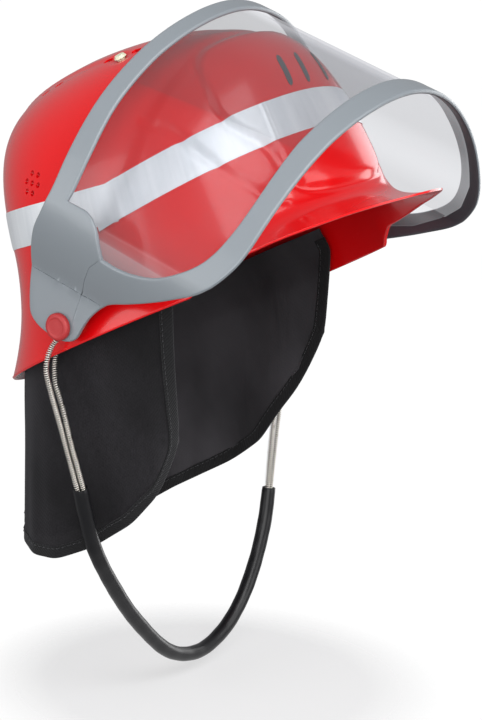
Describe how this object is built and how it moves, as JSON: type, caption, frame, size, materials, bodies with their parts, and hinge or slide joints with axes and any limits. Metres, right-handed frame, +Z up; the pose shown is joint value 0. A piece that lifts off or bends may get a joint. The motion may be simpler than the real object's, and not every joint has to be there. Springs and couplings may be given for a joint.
{
  "type": "firefighter helmet",
  "caption": "Firefighter helmet with a clear pivoting face shield in a grey frame, reflective tape, cloth neck curtain, spring chin strap and head harness.",
  "frame": {"origin": "centre of the head opening, in the plane of the side rim and on the helmet's plane of symmetry, midway along the rim at its widest", "axes": "+Z up through the crown, -Y towards the peak, +X towards the wearer's left"},
  "size_m": [0.2424, 0.3126, 0.3182],
  "materials": {
    "red_shell_plastic": "gloss",
    "reflective_tape": "satin retroreflective",
    "printed_emblem": "matt print",
    "grey_frame_plastic": "satin",
    "clear_lens": "gloss",
    "steel": "brushed",
    "red_cap_plastic": "matt",
    "natural_nylon": "satin",
    "nickel_spring": "bright",
    "elastic_cord": "braided",
    "black_sleeve": "satin",
    "curtain_cloth": "plain weave",
    "binding_tape": "folded tape",
    "hook_and_loop": "pile",
    "black_plastic": "moulded",
    "sweatband_foam": "brushed cloth",
    "webbing": "woven"
  },
  "bodies": {
    "shell": {"shell": "red_shell_plastic", "tape_rear": "reflective_tape", "tape_front": "reflective_tape", "front_emblem": "printed_emblem", "pivot_pin_right": "steel", "pivot_pin_left": "steel", "pivot_cap_right": "red_cap_plastic", "pivot_cap_left": "red_cap_plastic", "pivot_spacer_right": "natural_nylon", "pivot_spacer_left": "natural_nylon", "pivot_nut_right": "steel", "pivot_nut_left": "steel", "neck_curtain": "curtain_cloth", "curtain_binding": "binding_tape", "curtain_patches": "hook_and_loop", "headband": "black_plastic", "sweatband": "sweatband_foam", "band_hangers": "black_plastic", "crown_cradle": "webbing", "cradle_studs": "black_plastic", "crown_pegs": "natural_nylon"},
    "visor": {"visor_frame": "grey_frame_plastic", "visor_lens": "clear_lens"},
    "chin_strap": {"strap_eyelets": "steel", "spring_strands": "nickel_spring", "strap_cords": "elastic_cord", "chin_sleeve": "black_sleeve"},
    "size_adjuster": {"size_adjuster": "black_plastic", "adjuster_knob": "black_plastic"}
  },
  "joints": [
    {"name": "visor_pivot", "type": "hinge", "parent": "shell", "child": "visor", "pos_m": [0, 0.01, 0.011], "axis": [-1, 0, 0], "range_deg": [-26, 22], "stiffness_Nm_per_rad": 0.3, "springref_deg": 29.99},
    {"name": "chin_strap_swing", "type": "hinge", "parent": "shell", "child": "chin_strap", "pos_m": [0, 0.01, 0.011], "axis": [-1, 0, 0], "range_deg": [0, 50], "stiffness_Nm_per_rad": 0.05, "springref_deg": -8.46},
    {"name": "headband_adjust", "type": "hinge", "parent": "shell", "child": "size_adjuster", "pos_m": [0, 0.003, 0.042], "axis": [0, 0, 1], "range_deg": [-6, 6]}
  ]
}
